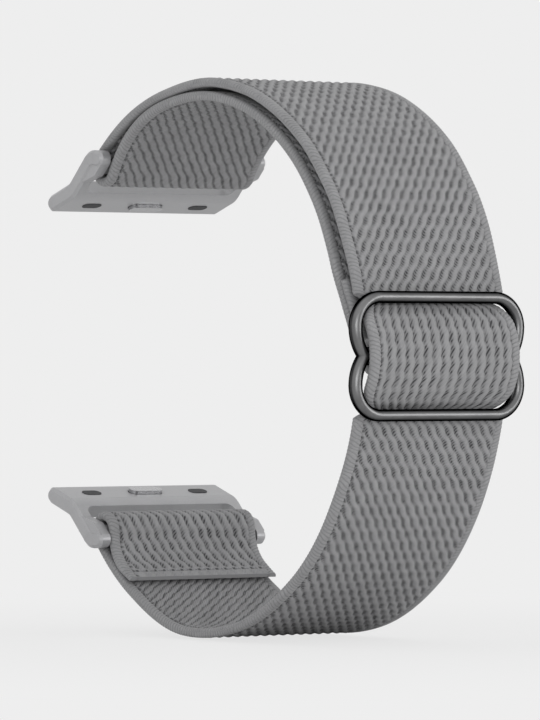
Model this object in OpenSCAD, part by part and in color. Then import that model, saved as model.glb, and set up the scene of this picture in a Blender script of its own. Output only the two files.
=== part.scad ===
// Elastic woven loop strap for a wrist watch, with a sliding adjuster and two lug adapters.
// X runs across the strap. The watch sits at +Y, the adjuster at -Y, and Z is up along the watch.
// The origin is midway between the two lug tongues. Side views are drawn in the Y-Z plane.

/* [Webbing] */
// Width of the woven webbing
web_w = 24.4; // [18:0.2:28]
// Thickness of one layer of webbing
web_t = 1.3; // [1.1:0.05:1.6]
// Gap between two layers that lie on each other
layer_gap = 0.05; // [0.03:0.01:0.15]
// Flat sewn length of the hem at the lower adapter
hem_flat = 3; // [2:0.5:5]
// Angle round the loop from the hem's taper to its end
hem_angle = 53.4; // [51:0.2:55]
// Sewn tail of the adjuster's end loop, as an angle above the bar
tail_angle = 13; // [11:0.5:16]
// Diameter of the sewing thread
thread_d = 0.34; // [0.25:0.01:0.45]
// Number of stitches in a row
stitches = 14; // [8:1:18]

/* [Loop] */
// Outer diameter of the round loop
loop_d = 74.6; // [70:0.2:84]
// How far the loop's centre lies below the origin
loop_drop = 1; // [0:0.1:1.6]
// How far the inner layer stands in from the outer one at the adjuster
inner_drop = 2.3; // [1.9:0.1:2.8]
// Direction in which the two layers touch, from the +Y axis
touch_angle = 75; // [70:1:80]

/* [Adjuster] */
// Overall width of the adjuster frame
slider_w = 28.5; // [28.3:0.1:34]
// Overall height of the adjuster frame
slider_h = 17.1; // [16:0.1:20]
// Width of the frame's bars, seen from the front
slider_bar = 1.6; // [1.3:0.1:1.8]
// Depth of the frame's bars
slider_depth = 2; // [1.6:0.1:2.4]
// Depth of the notch at the frame's waist
notch = 1.4; // [0.9:0.1:1.6]
// Outer corner radius of the frame
corner_r = 4.7; // [3.5:0.1:5.2]
// Height of the flat centre bar
centre_h = 2.4; // [1.8:0.1:3]
// Thickness of the centre bar
centre_t = 0.9; // [0.7:0.05:1.2]
// How deep the centre bar's ends sit in the frame
centre_seat = 0.5; // [0.3:0.1:0.8]

/* [Adapter] */
// Distance between the two tongue tips' centres
lug_span = 41; // [38:0.5:44]
// Distance of the tongue tip's centre in front of the origin
tip_y = 3.15; // [2:0.05:4]
// Thickness of the adapter's plate
plate_t = 2.3; // [2.2:0.1:2.6]
// Width of each side arm
arm_w = 1.65; // [1.4:0.05:2.2]
// Length from the tongue tip's centre to the heel
tongue_l = 5; // [4.6:0.1:6]
// Slope of the tongue
tongue_slope = 18.5; // [15:0.5:22]
// Length of the arm from heel to shoulder
arm_l = 6.4; // [6:0.1:7.2]
// Slope of the arm
arm_slope = 44; // [40:0.5:48]
// Length from the shoulder to the end of the arm
hook_l = 1.9; // [1.7:0.1:2.3]
// Slope of the short hook at the end of the arm
hook_slope = 5; // [0:0.5:10]
// Diameter of the crossbar that carries the webbing
bar_d = 1.7; // [1.4:0.1:2]
// Diameter of the eyes in the arms that hold the crossbar
eye_d = 2.6; // [2.4:0.1:3]
// How far the crossbar sits back from the end of the arms
bar_back = 1.8; // [1.4:0.1:2]
// Corner radius of the window
window_r = 1.2; // [0.6:0.1:2]

/* [Latch] */
// Length of the latch button's nose, across the strap
nose_l = 5.4; // [4:0.1:7]
// Width of the nose, along the tongue
nose_w = 1.8; // [1.6:0.05:2.1]
// Travel of the button, and how far its nose stands out
nose_out = 0.5; // [0.3:0.05:0.6]
// Width of the flange round the nose
flange_rim = 0.5; // [0.35:0.05:0.55]
// Thickness of the flange
flange_t = 0.5; // [0.35:0.05:0.55]
// Wall of the tongue that the nose comes through
latch_wall = 0.6; // [0.5:0.05:0.7]
// Thickness of the cover plate
cover_t = 0.4; // [0.3:0.05:0.5]
// Rim of the cover plate round the pocket
cover_rim = 0.35; // [0.25:0.05:0.45]
// Mean diameter of each spring
spring_d = 0.9; // [0.8:0.05:1]
// Wire diameter of each spring
wire_d = 0.15; // [0.12:0.01:0.18]
// Depth of each spring's seat in the button
seat_depth = 0.8; // [0.6:0.05:0.9]
// Length of each friction pad, across the strap
pad_l = 3; // [2:0.1:4]
// Width of each friction pad, along the tongue
pad_w = 1.6; // [1.2:0.1:1.8]
// Depth of each friction pad's pocket
pad_t = 0.8; // [0.5:0.1:1]
// How far each pad stands out of the tongue
pad_out = 0.08; // [0.04:0.01:0.12]

/* [Hidden] */
$fn = 64;

// Clearances
bar_clear = 0.5;     // webbing lying loosely round the adapter's crossbar
wrap_clear = 0.08;   // webbing under the adjuster's bars
side_clear = 0.35;   // webbing beside an arm or a lobe
corner_clear = 0.12; // webbing in the rounded corners of the adjuster's frame
run_clear = 0.1;     // latch nose in its slot
seat_clear = 0.07;   // spring in its seat
edge_break = 0.4;    // chamfer along the adapter's edges
eye_inset = 0.2;     // eyes stand in from the arms' outer faces
link_sink = 0.015;   // webs between the eyes and the arms lie this far inside their curves
heel_r = 3;          // bend of the plate at the heel
shoulder_r = 1.8;    // bend of the plate at the shoulder
turn_lead = 5;       // length of a run that is drawn with the turn at the upper adapter
pass_lead = 2.5;     // length of a run that is drawn with the pass through the adjuster
hem_lead = 1.1;      // length of the lower run that is drawn with the hem
pass_room = 0.07;    // extra gap between the pass and the end loop
corner_turn = 69;    // angle up the frame's corner where the webbing is drawn in most
corner_steps = 5;    // straight steps of the webbing's outline in that corner
tail_stitch = 4;     // angle of the sewn row below the end of the end loop's own arc
bend_slack = 0.55;   // inner radius of the webbing's bend beside the centre bar
waist_l = 0.8;       // straight length of the adjuster's frame at its waist
sill_flat = 0.2;     // flat of the arms' root before the window
latch_place = 0.53;  // where the latch sits, as a share of the tongue from its heel
pad_place = 0.64;    // where the pads sit, as a share of the adapter's half width
stitch_share = 0.62; // how much of a stitch's pitch its thread covers
spring_clear = 0.02; // spring's ends in the pocket
spring_turns = 6;
spring_rings = 10;   // rings of the spring's tube per turn
spring_sides = 6;
margin = 1;          // cutters run past the faces that they cut
collar_l = 0.2;      // length of the collar that joins two stretches into one solid
collar_h = 0.01;     // height of that collar

// A point at radius r and angle a from c, in the side view
function pol(c, r, a) = c + r * [cos(a), sin(a)];
function heading(a, b) = atan2(b[1] - a[1], b[0] - a[0]);
function dist(a, b) = norm(b - a);
// The angle that a length takes on a circle
function turn_of(l, r) = l / r * 180 / PI;
// An arc leaves the circle (p, r) at angle a and then touches a small circle round t.
// side is +radius when the small circle lies outside the arc, and -radius when inside.
// The result is how far the new centre lies from p, towards the leaving point.
function shift(p, r, a, t, side) =
  let (v = t - p)
  ((r + side) * (r + side) - v * v) / (2 * (r + side - v * [cos(a), sin(a)]));
// The point at distance r1 from c1 and r2 from c2, on the left of the way from c1 to c2
function meet(c1, r1, c2, r2) =
  let (d = dist(c1, c2), a = (r1 * r1 - r2 * r2 + d * d) / (2 * d), u = (c2 - c1) / d)
  c1 + a * u + sqrt(r1 * r1 - a * a) * [-u[1], u[0]];

// Adapter, side view
tip = [tip_y, lug_span / 2];
heel = pol(tip, tongue_l, 180 - tongue_slope);
shoulder = pol(heel, arm_l, 180 - arm_slope);
arm_end = pol(shoulder, hook_l, 180 + hook_slope);
arm_middle = (heel + shoulder) / 2;
window_half = web_w / 2 + side_clear;
adapter_half = window_half + arm_w;

// Loop, side view
run_r = loop_d / 2 - web_t / 2;
turn_r = bar_d / 2 + bar_clear + web_t / 2;
arm_rise = arm_end[1] + loop_drop;
loop_c = arm_end - [sqrt((run_r - turn_r) * (run_r - turn_r) - arm_rise * arm_rise), arm_rise];
bar_angle = heading(loop_c, arm_end) - turn_of(bar_back, run_r - turn_r);
bar_at = pol(loop_c, run_r - turn_r, bar_angle);
lower_bar_at = [bar_at[0], -bar_at[1]];
layer_step = web_t + layer_gap;

// Inner layer, from the adjuster to the upper turn
inner_r = run_r - layer_step - inner_drop;
inner_c = pol(loop_c, inner_drop, touch_angle);
inner_shift = shift(inner_c, inner_r, touch_angle, bar_at, turn_r);
upper_approach_c = pol(inner_c, inner_shift, touch_angle);
upper_approach_r = inner_r - inner_shift;

// Lower run, from the bottom of the loop to the lower turn
bottom = 270;
lower_shift = shift(loop_c, run_r, bottom, lower_bar_at, -turn_r);
lower_approach_c = pol(loop_c, lower_shift, bottom);
lower_approach_r = run_r - lower_shift;
hem_r = lower_approach_r - layer_step;
hem_start = 360 - hem_angle;
hem_end = hem_start - turn_of(hem_flat, hem_r);
fold_start = hem_end - turn_of(hem_lead, lower_approach_r);
hem_shift = shift(lower_approach_c, hem_r, hem_start, lower_bar_at, turn_r);
hem_taper_c = pol(lower_approach_c, hem_shift, hem_start);
hem_taper_r = hem_r - hem_shift;

// Adjuster, side view. front is the direction from the loop's centre to the adjuster.
front = 180;
bar_z = (slider_h - slider_bar) / 2;
wrap_r = slider_depth / 2 + wrap_clear + web_t / 2;
bar_drop = asin(bar_z / (run_r + wrap_r));
slider_at = [loop_c[0] - (run_r + wrap_r) * cos(bar_drop), loop_c[1]];
top_bar_at = slider_at + [0, bar_z];
centre_at = slider_at + [slider_depth / 2 - centre_t / 2, 0];
ring_r = centre_t / 2 + layer_gap + web_t / 2;
ring_top = centre_at + [0, (centre_h - centre_t) / 2];
ring_low = centre_at - [0, (centre_h - centre_t) / 2];
pass_apex = centre_at - [ring_r + layer_step + pass_room, 0];
apex_step = slider_at[0] - pass_apex[0];
pass_r = (bar_z * bar_z + apex_step * apex_step - wrap_r * wrap_r) / (2 * (wrap_r + apex_step));
pass_c = pass_apex + [pass_r, 0];
pass_end = bar_drop + turn_of(pass_lead, run_r);
wrap_turn_out = heading(pass_c, top_bar_at);
wrap_turn = wrap_turn_out - 180;

// End loop of the webbing round the centre bar
loop_leave = 172;
end_shift = shift(inner_c, inner_r, loop_leave, ring_low, ring_r);
end_c = pol(inner_c, end_shift, loop_leave);
end_r = end_shift - inner_r;
tail_bend_r = web_t / 2 + bend_slack;
tail_bend_c = meet(end_c, end_r - layer_step - tail_bend_r, ring_top, ring_r + tail_bend_r);
drawn_half = slider_w / 2 - slider_bar - notch - side_clear;
corner_at = [slider_w / 2 - corner_r, slider_h / 2 - corner_r];
corner_in = corner_r - slider_bar - corner_clear;

// Latch pocket, in the tongue's own plane
latch_at = pol(heel, tongue_l * latch_place, -tongue_slope);
pocket_l = nose_l + 2 * flange_rim + 2 * run_clear;
pocket_w = nose_w + 2 * flange_rim + 2 * run_clear;
pocket_floor = latch_wall - plate_t / 2;
spring_x = nose_l / 2 - nose_w / 2;
seat_r = spring_d / 2 + wire_d / 2 + seat_clear;
spring_low = pocket_floor + flange_t - seat_depth + wire_d / 2 + spring_clear;
spring_high = plate_t / 2 - cover_t - wire_d / 2 - spring_clear;
pad_x = adapter_half * pad_place;

// Colours as the photograph shows them
grey_yarn = [0.50, 0.50, 0.52];
light_thread = [0.60, 0.60, 0.62];
dark_steel = [0.17, 0.17, 0.18];
grey_paint = [0.56, 0.56, 0.58];
bright_steel = [0.75, 0.75, 0.77];
dark_nylon = [0.12, 0.12, 0.13];

// Draws what its children draw in the X-Y plane in the side view, with their Z along X
module side_view() rotate([90, 0, 90]) children();

// Section of the webbing: thin along x, wide along y, with round selvedges
module web_section(w, more = 0) {
  t = web_t + 2 * more;
  square([t, w - web_t], center = true);
  for (s = [-1, 1]) translate([0, s * (w - web_t) / 2]) circle(d = t);
}

// Section of a plate with broken edges
module plate_section(w, t) {
  x = t / 2;
  y = w / 2;
  e = edge_break;
  polygon([
    [x, e - y], [x, y - e], [x - e, y], [e - x, y],
    [-x, y - e], [-x, e - y], [e - x, -y], [x - e, -y]
  ]);
}

// Section of the adjuster's bars, with x in the frame's plane and y through its depth
module bar_section(more = 0) {
  t = slider_bar + 2 * more;
  square([t, slider_depth - slider_bar], center = true);
  for (s = [-1, 1]) translate([0, s * (slider_depth - slider_bar) / 2]) circle(d = t);
}

// One round stretch of webbing in the side view, from angle a0 to a1 about c
module bend(c, r, a0, a1, w = web_w) {
  side_view() translate([c[0], c[1], 0]) rotate([0, 0, min(a0, a1)])
    rotate_extrude(angle = abs(a1 - a0)) translate([r, 0]) web_section(w);
}

// One straight stretch between two points of the side view, with its children as section
module straight(a, b) {
  side_view() translate([a[0], a[1], 0]) rotate([0, 0, heading(a, b)])
    rotate([90, 0, 90]) linear_extrude(dist(a, b)) children();
}

// A thin collar round the webbing where two stretches meet at angle a of circle (c, r)
module collar(c, r, a, w = web_w) {
  at = pol(c, r, a);
  straight(pol(at, collar_l / 2, a - 90), pol(at, collar_l / 2, a + 90)) web_section(w, collar_h);
}

// A long hole or disc with round ends, l along x
module stadium(l, w) {
  square([l - w, w], center = true);
  for (s = [-1, 1]) translate([s * (l - w) / 2, 0]) circle(d = w);
}

module slab(l, w, z0, z1) translate([0, 0, z0]) linear_extrude(z1 - z0) stadium(l, w);

module webbing_outer_run() color(grey_yarn)
  bend(loop_c, run_r, bar_angle + turn_of(turn_lead, run_r), front - pass_end);

module webbing_inner_run() color(grey_yarn) {
  start = heading(upper_approach_c, bar_at) + turn_of(turn_lead, upper_approach_r);
  bend(inner_c, inner_r, touch_angle, loop_leave);
  collar(inner_c, inner_r, touch_angle);
  bend(upper_approach_c, upper_approach_r, start, touch_angle);
}

// The turn round the upper crossbar, with a short piece of each layer
module webbing_upper_turn() color(grey_yarn) {
  out = bar_angle;
  in = heading(upper_approach_c, bar_at);
  bend(loop_c, run_r, out, out + turn_of(turn_lead, run_r));
  collar(loop_c, run_r, out);
  bend(bar_at, turn_r, in - 180, out);
  collar(bar_at, turn_r, in - 180);
  bend(upper_approach_c, upper_approach_r, in, in + turn_of(turn_lead, upper_approach_r));
}

// The webbing dips under the adjuster's top bar, rises over its centre and dips again.
// Its edges are drawn in where the frame's rounded corners leave less room.
module webbing_slider_pass() color(grey_yarn) intersection() {
  union() {
    for (s = [0, 1]) translate([0, 0, slider_at[1]]) mirror([0, 0, s]) translate([0, 0, -slider_at[1]]) {
      bend(loop_c, run_r, front - pass_end, front - bar_drop);
      collar(loop_c, run_r, front - bar_drop);
      bend(top_bar_at, wrap_r, wrap_turn, -bar_drop);
      collar(top_bar_at, wrap_r, wrap_turn);
    }
    bend(pass_c, pass_r, wrap_turn_out, 2 * front - wrap_turn_out);
  }
  across_adjuster() frame_opening();
}

// Draws its children, in the X-Z plane about the adjuster's middle, as a prism along Y
module across_adjuster() {
  far = slider_h;
  translate([0, slider_at[0] + far, slider_at[1]]) rotate([90, 0, 0]) linear_extrude(2 * far)
    children();
}

// Room for the webbing in the frame: its opening with round corners, open above and below
// behind the bars, where the webbing widens again
module frame_opening() {
  wide = web_w / 2 + margin;
  turns = [for (i = [0 : corner_steps]) corner_turn * i / corner_steps];
  corner = [for (a = turns) corner_at + corner_in * [cos(a), sin(a)]];
  behind = [corner[corner_steps][0], bar_z - slider_bar / 4];
  quarter = concat(corner, [behind, [wide, bar_z + pass_lead], [wide, slider_h]]);
  last = len(quarter) - 1;
  polygon(concat(
    quarter, [for (i = [last : -1 : 0]) [-quarter[i][0], quarter[i][1]]],
    -quarter, [for (i = [last : -1 : 0]) [quarter[i][0], -quarter[i][1]]]
  ));
}

// The end of the webbing goes under the centre bar, up its front and back in, and is sewn down
module webbing_slider_end_loop() color(grey_yarn) intersection() {
  low = heading(end_c, ring_low);
  tail = heading(end_c, tail_bend_c);
  leave = loop_leave - 180;
  union() {
    bend(end_c, end_r, low, leave);
    collar(end_c, end_r, low);
    bend(ring_low, ring_r, low, -180);
    collar(ring_low, ring_r, -180);
    straight(ring_low - [ring_r, 0], ring_top - [ring_r, 0]) web_section(web_w);
    collar(ring_top, ring_r, 180);
    bend(ring_top, ring_r, heading(ring_top, tail_bend_c), 180);
    collar(ring_top, ring_r, heading(ring_top, tail_bend_c));
    bend(tail_bend_c, tail_bend_r, heading(tail_bend_c, ring_top), tail);
    collar(tail_bend_c, tail_bend_r, tail);
    bend(end_c, end_r - layer_step, tail, leave);
    collar(end_c, end_r - layer_step, leave);
    bend(inner_c, inner_r + layer_step, 180 - tail_angle, loop_leave);
  }
  across_adjuster() waist_opening();
}

// Room for the end loop between the two points of the frame's waist, widening above
module waist_opening() {
  z0 = ring_top[1] - slider_at[1] + ring_r + web_t;
  half = web_w / 2;
  far = slider_h;
  polygon([
    [-drawn_half, -far], [drawn_half, -far], [drawn_half, z0], [half, bar_z],
    [half, far], [-half, far], [-half, bar_z], [-drawn_half, z0]
  ]);
}

module webbing_lower_run() color(grey_yarn) {
  bend(loop_c, run_r, front + pass_end, bottom);
  collar(loop_c, run_r, bottom);
  bend(lower_approach_c, lower_approach_r, bottom, fold_start);
}

// The turn round the lower crossbar and the folded hem
module webbing_lower_fold() color(grey_yarn) {
  out = heading(lower_approach_c, lower_bar_at) + 360;
  in = heading(hem_taper_c, lower_bar_at) + 360;
  bend(lower_approach_c, lower_approach_r, fold_start, out);
  collar(lower_approach_c, lower_approach_r, out);
  bend(lower_bar_at, turn_r, out, in + 180);
  collar(lower_bar_at, turn_r, in + 180);
  bend(hem_taper_c, hem_taper_r, hem_start, in);
  collar(hem_taper_c, hem_taper_r, hem_start);
  bend(lower_approach_c, hem_r, hem_end, hem_start);
}

// A row of short stitches along X at point p of the side view
module stitch_row(p) {
  pitch = (web_w - 3 * web_t) / stitches;
  for (i = [0 : stitches - 1]) translate([(i - (stitches - 1) / 2) * pitch, p[0], p[1]])
    rotate([0, 90, 0]) {
      cylinder(d = thread_d, h = pitch * stitch_share, center = true, $fn = 16);
      for (s = [-1, 1]) translate([0, 0, s * pitch * stitch_share / 2]) sphere(d = thread_d, $fn = 16);
    }
}

module hem_stitching() color(light_thread)
  stitch_row(pol(lower_approach_c, hem_r - web_t / 2, (hem_start + hem_end) / 2));

module slider_end_stitching() color(light_thread)
  stitch_row(pol(end_c, end_r + web_t / 2, loop_leave - 180 - tail_stitch));

// One lobe of the adjuster's frame, above its waist
module frame_lobe() {
  x = slider_w / 2 - slider_bar / 2;
  r = corner_r - slider_bar / 2;
  z = bar_z - r;
  waist = x - notch;
  a = 2 * atan((x - waist) / z);
  side_r = z / sin(a);
  translate([0, slider_at[0], slider_at[1]]) {
    translate([r - x, 0, bar_z]) rotate([0, 90, 0]) linear_extrude(2 * (x - r)) bar_section();
    for (s = [0, 1]) mirror([s, 0, 0]) {
      translate([x - r - collar_l / 2, 0, bar_z]) rotate([0, 90, 0]) linear_extrude(collar_l)
        bar_section(collar_h);
      translate([x - r, 0, z]) rotate([90, 0, 0]) rotate_extrude(angle = 90)
        translate([r, 0]) bar_section();
      translate([x, 0, z - collar_l / 2]) linear_extrude(collar_l) bar_section(collar_h);
      translate([x - side_r, 0, z]) rotate([90, 0, 0]) rotate([0, 0, -a])
        rotate_extrude(angle = a) translate([side_r, 0]) bar_section();
    }
  }
}

// Flat bar across the waist, with its ends seated in the frame
module slider_centre_bar() color(dark_steel) {
  half = slider_w / 2 - notch - slider_bar + centre_seat;
  translate([-half, centre_at[0], centre_at[1]]) rotate([0, 90, 0]) linear_extrude(2 * half)
    stadium(centre_h, centre_t);
}

module slider_frame() color(dark_steel) difference() {
  union() {
    for (s = [0, 1]) translate([0, 0, slider_at[1]]) mirror([0, 0, s])
      translate([0, 0, -slider_at[1]]) frame_lobe();
    for (s = [-1, 1]) translate([s * (slider_w / 2 - slider_bar / 2 - notch), slider_at[0], slider_at[1]])
      translate([0, 0, -waist_l / 2]) linear_extrude(waist_l) bar_section(collar_h);
  }
  slider_centre_bar();
}

// Places its children in the tongue: x across the strap, y towards the tip, z outwards
module on_tongue() translate([0, latch_at[0], latch_at[1]]) rotate([-tongue_slope, 0, 0]) children();

// One bend of the adapter's plate where it turns by turn degrees at corner k
module plate_bend(k, from, turn, r) {
  back = r * tan(abs(turn) / 2);
  start = pol(k, back, 180 + from);
  c = pol(start, r, from + (turn > 0 ? 90 : -90));
  side_view() translate([c[0], c[1], 0])
    rotate([0, 0, turn > 0 ? from - 90 : from + 90 + turn])
      rotate_extrude(angle = abs(turn)) translate([r, 0]) plate_section(2 * adapter_half, plate_t);
  for (e = [[180 + from, from], [from + turn, from + turn]])
    straight(pol(pol(k, back, e[0]), -collar_l / 2, e[1]), pol(pol(k, back, e[0]), collar_l / 2, e[1]))
      plate_section(2 * (adapter_half + collar_h), plate_t + 2 * collar_h);
}

// A round end of the plate, drawn as a whole disc along X
module plate_end(p) translate([-adapter_half, p[0], p[1]]) rotate([0, 90, 0]) {
  h = 2 * adapter_half;
  r = plate_t / 2;
  rotate_extrude() polygon([
    [0, 0], [r - edge_break, 0], [r, edge_break],
    [r, h - edge_break], [r - edge_break, h], [0, h]
  ]);
}

// Web along X with its faces touching a circle of radius ra round a and one of radius rb round b
module link(a, ra, b, rb) {
  u = (b - a) / dist(a, b);
  lean = (ra - rb) / dist(a, b);
  rise = sqrt(1 - lean * lean) * [-u[1], u[0]];
  over = lean * u + rise;
  under = lean * u - rise;
  side_view() translate([0, 0, eye_inset - adapter_half])
    linear_extrude(2 * (adapter_half - eye_inset))
      polygon([a + ra * over, b + rb * over, b + rb * under, a + ra * under]);
}

// Opening of the adapter that the webbing passes through
module adapter_window() {
  sill = heel_r * tan((arm_slope - tongue_slope) / 2) + sill_flat;
  reach = arm_l + hook_l;
  at = pol(heel, sill, 180 - arm_slope);
  side_view() translate([at[0], at[1], 0]) rotate([0, 0, 180 - arm_slope]) rotate([90, 0, 0])
    translate([0, 0, -reach]) linear_extrude(2 * reach) {
      translate([window_r, -window_half]) square([reach, 2 * window_half]);
      translate([0, window_r - window_half]) square([2 * window_r, 2 * (window_half - window_r)]);
      for (s = [-1, 1]) translate([window_r, s * (window_half - window_r)]) circle(r = window_r);
    }
}

module adapter_frame() {
  heel_back = heel_r * tan((arm_slope - tongue_slope) / 2);
  shoulder_turn = arm_slope + hook_slope;
  shoulder_back = shoulder_r * tan(shoulder_turn / 2);
  translate([-window_half - arm_w / 2, bar_at[0], bar_at[1]]) rotate([0, 90, 0])
    cylinder(d = bar_d, h = 2 * window_half + arm_w);
  difference() {
    union() {
      plate_end(tip);
      straight(tip, pol(heel, heel_back, -tongue_slope)) plate_section(2 * adapter_half, plate_t);
      plate_bend(heel, 180 - tongue_slope, tongue_slope - arm_slope, heel_r);
      straight(pol(heel, heel_back, 180 - arm_slope), pol(shoulder, shoulder_back, -arm_slope))
        plate_section(2 * adapter_half, plate_t);
      plate_bend(shoulder, 180 - arm_slope, shoulder_turn, shoulder_r);
      straight(pol(shoulder, shoulder_back, 180 + hook_slope), arm_end)
        plate_section(2 * adapter_half, plate_t);
      plate_end(arm_end);
      translate([eye_inset - adapter_half, bar_at[0], bar_at[1]]) rotate([0, 90, 0])
        cylinder(d = eye_d, h = 2 * (adapter_half - eye_inset));
      link(bar_at, eye_d / 2 - link_sink, arm_end, plate_t / 2 - link_sink);
      link(bar_at, eye_d / 2 - link_sink, arm_middle, plate_t / 2 - link_sink);
    }
    adapter_window();
    on_tongue() {
      slab(pocket_l, pocket_w, pocket_floor, plate_t);
      slab(nose_l + 2 * run_clear, nose_w + 2 * run_clear, -plate_t, plate_t);
      slab(pocket_l + 2 * cover_rim, pocket_w + 2 * cover_rim, plate_t / 2 - cover_t, plate_t);
    }
    pad_pair(0);
  }
}

// Sprung button that locks the tongue in the watch; its nose stands out on the wrist side
module latch_button() on_tongue() difference() {
  union() {
    slab(nose_l, nose_w, -plate_t / 2 - nose_out, pocket_floor + flange_t);
    slab(nose_l + 2 * flange_rim, nose_w + 2 * flange_rim, pocket_floor, pocket_floor + flange_t);
  }
  for (s = [-1, 1]) translate([s * spring_x, 0, pocket_floor + flange_t - seat_depth])
    cylinder(r = seat_r, h = seat_depth + margin);
}

// Tube along a helix, from spring_low to spring_high
module latch_spring() {
  rings = spring_turns * spring_rings;
  climb = spring_high - spring_low;
  points = [
    for (i = [0 : rings]) for (k = [0 : spring_sides - 1])
      let (a = 360 * i / spring_rings, b = 360 * k / spring_sides,
           r = spring_d / 2 + wire_d / 2 * cos(b))
      [r * cos(a), r * sin(a), spring_low + climb * i / rings + wire_d / 2 * sin(b)]
  ];
  sides = [
    for (i = [0 : rings - 1]) for (k = [0 : spring_sides - 1])
      let (a = i * spring_sides, b = a + spring_sides, k2 = (k + 1) % spring_sides)
      each [[a + k, b + k, b + k2], [a + k, b + k2, a + k2]]
  ];
  first = [for (k = [0 : spring_sides - 1]) k];
  last = [for (k = [spring_sides - 1 : -1 : 0]) rings * spring_sides + k];
  polyhedron(points, concat(sides, [first, last]), convexity = 10);
}

module latch_springs() on_tongue() for (s = [-1, 1]) translate([s * spring_x, 0, 0]) latch_spring();

module latch_cover() on_tongue()
  slab(pocket_l + 2 * cover_rim, pocket_w + 2 * cover_rim, plate_t / 2 - cover_t, plate_t / 2);

// Nylon pads pressed into the tongue's wrist side, standing out by out
module pad_pair(out) on_tongue() for (s = [-1, 1]) translate([s * pad_x, 0, 0])
  slab(pad_l, pad_w, -plate_t / 2 - (out > 0 ? out : margin), pad_t - plate_t / 2);

module lower() mirror([0, 0, 1]) children();

module upper_adapter_frame() color(grey_paint) adapter_frame();
module upper_latch_button() color(bright_steel) latch_button();
module upper_latch_springs() color(bright_steel) latch_springs();
module upper_latch_cover() color(grey_paint) latch_cover();
module upper_friction_pads() color(dark_nylon) pad_pair(pad_out);
module lower_adapter_frame() color(grey_paint) lower() adapter_frame();
module lower_latch_button() color(bright_steel) lower() latch_button();
module lower_latch_springs() color(bright_steel) lower() latch_springs();
module lower_latch_cover() color(grey_paint) lower() latch_cover();
module lower_friction_pads() color(dark_nylon) lower() pad_pair(pad_out);

webbing_outer_run();
webbing_inner_run();
webbing_upper_turn();
webbing_slider_pass();
webbing_slider_end_loop();
webbing_lower_run();
webbing_lower_fold();
hem_stitching();
slider_end_stitching();
slider_frame();
slider_centre_bar();
upper_adapter_frame();
upper_latch_button();
upper_latch_springs();
upper_latch_cover();
upper_friction_pads();
lower_adapter_frame();
lower_latch_button();
lower_latch_springs();
lower_latch_cover();
lower_friction_pads();
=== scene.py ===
"""A grey elastic watch strap with a sliding adjuster and two lug adapters: its looks.

Lengths are in millimetres until a mesh is made, and angles in degrees. The camera, the lamps and
the floor are placed in metres. The webbing's route is drawn in the side view, as points (y, z),
from the end loop at the adjuster, up the inner layer, round the upper crossbar, down the outer
layer, through the adjuster and on to the hem at the lower crossbar. s is a length along the
webbing, and u a distance across it from its middle.
"""
import math
from types import SimpleNamespace

import bpy
import numpy as np
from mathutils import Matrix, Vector


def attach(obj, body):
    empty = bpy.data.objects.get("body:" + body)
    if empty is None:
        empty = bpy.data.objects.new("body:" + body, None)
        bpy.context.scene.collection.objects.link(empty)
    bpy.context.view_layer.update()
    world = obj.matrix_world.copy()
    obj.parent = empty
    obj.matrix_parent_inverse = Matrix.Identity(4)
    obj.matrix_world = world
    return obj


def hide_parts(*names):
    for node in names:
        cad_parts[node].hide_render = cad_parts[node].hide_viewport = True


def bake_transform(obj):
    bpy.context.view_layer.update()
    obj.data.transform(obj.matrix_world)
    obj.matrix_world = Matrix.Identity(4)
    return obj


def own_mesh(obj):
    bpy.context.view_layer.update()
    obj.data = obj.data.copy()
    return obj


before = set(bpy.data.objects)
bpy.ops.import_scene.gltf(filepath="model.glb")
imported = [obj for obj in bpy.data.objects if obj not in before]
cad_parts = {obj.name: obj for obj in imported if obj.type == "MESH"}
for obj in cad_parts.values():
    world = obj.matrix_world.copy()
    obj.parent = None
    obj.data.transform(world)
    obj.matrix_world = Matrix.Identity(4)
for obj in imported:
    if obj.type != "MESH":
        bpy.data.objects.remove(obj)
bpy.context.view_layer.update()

MM = 0.001
FULL_TURN = 2 * math.pi

# Sizes that the source of the CAD model sets

WEB_W = 24.4            # width of the webbing
WEB_T = 1.3             # its thickness
LAYER_GAP = 0.05        # gap between two layers that lie on each other
HEM_FLAT = 3.0          # sewn length of the hem
HEM_ANGLE = 53.4        # angle round the loop at which the hem starts
TAIL_ANGLE = 13.0       # tail of the end loop, as an angle above the adjuster's centre
TAIL_STITCH = 4.0       # angle of its sewn row below the end of its arc
STITCHES = 14           # stitches in a row
STITCH_SHARE = 0.62     # how much of a stitch's pitch its thread covers
LOOP_D = 74.6           # outer diameter of the loop
LOOP_DROP = 1.0         # how far its centre lies below the origin
INNER_DROP = 2.3        # how far the inner layer stands in from the outer one at the adjuster
TOUCH_ANGLE = 75.0      # where the two layers touch
LOOP_LEAVE = 172.0      # where the inner layer leaves its arc for the centre bar
SLIDER_W = 28.5         # width of the adjuster
SLIDER_H = 17.1         # its height
SLIDER_BAR = 1.6        # width of its bars, seen from the front
SLIDER_DEPTH = 2.0      # their depth
NOTCH = 1.4             # depth of the notch at its waist
CORNER_R = 4.7          # outer radius of its corners
CORNER_CLEAR = 0.12     # gap between the webbing and its rounded corners
CORNER_TURN = 69.0      # angle up the corner where the webbing is drawn in most
CENTRE_H = 2.4          # height of its centre bar
CENTRE_T = 0.9          # thickness of that bar
LUG_SPAN = 41.0         # distance between the two tongue tips
TIP_Y = 3.15            # how far these lie in front of the origin
TONGUE_L, TONGUE_SLOPE = 5.0, 18.5      # length and slope of an adapter's tongue,
ARM_L, ARM_SLOPE = 6.4, 44.0            # of its arms
HOOK_L, HOOK_SLOPE = 1.9, 5.0           # and of the arms' ends
BAR_D = 1.7             # diameter of an adapter's crossbar
BAR_BACK = 1.8          # how far it sits back from the end of the arms
BAR_CLEAR = 0.5         # gap between it and the webbing
WRAP_CLEAR = 0.08       # gap between the adjuster's bars and the webbing
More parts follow.
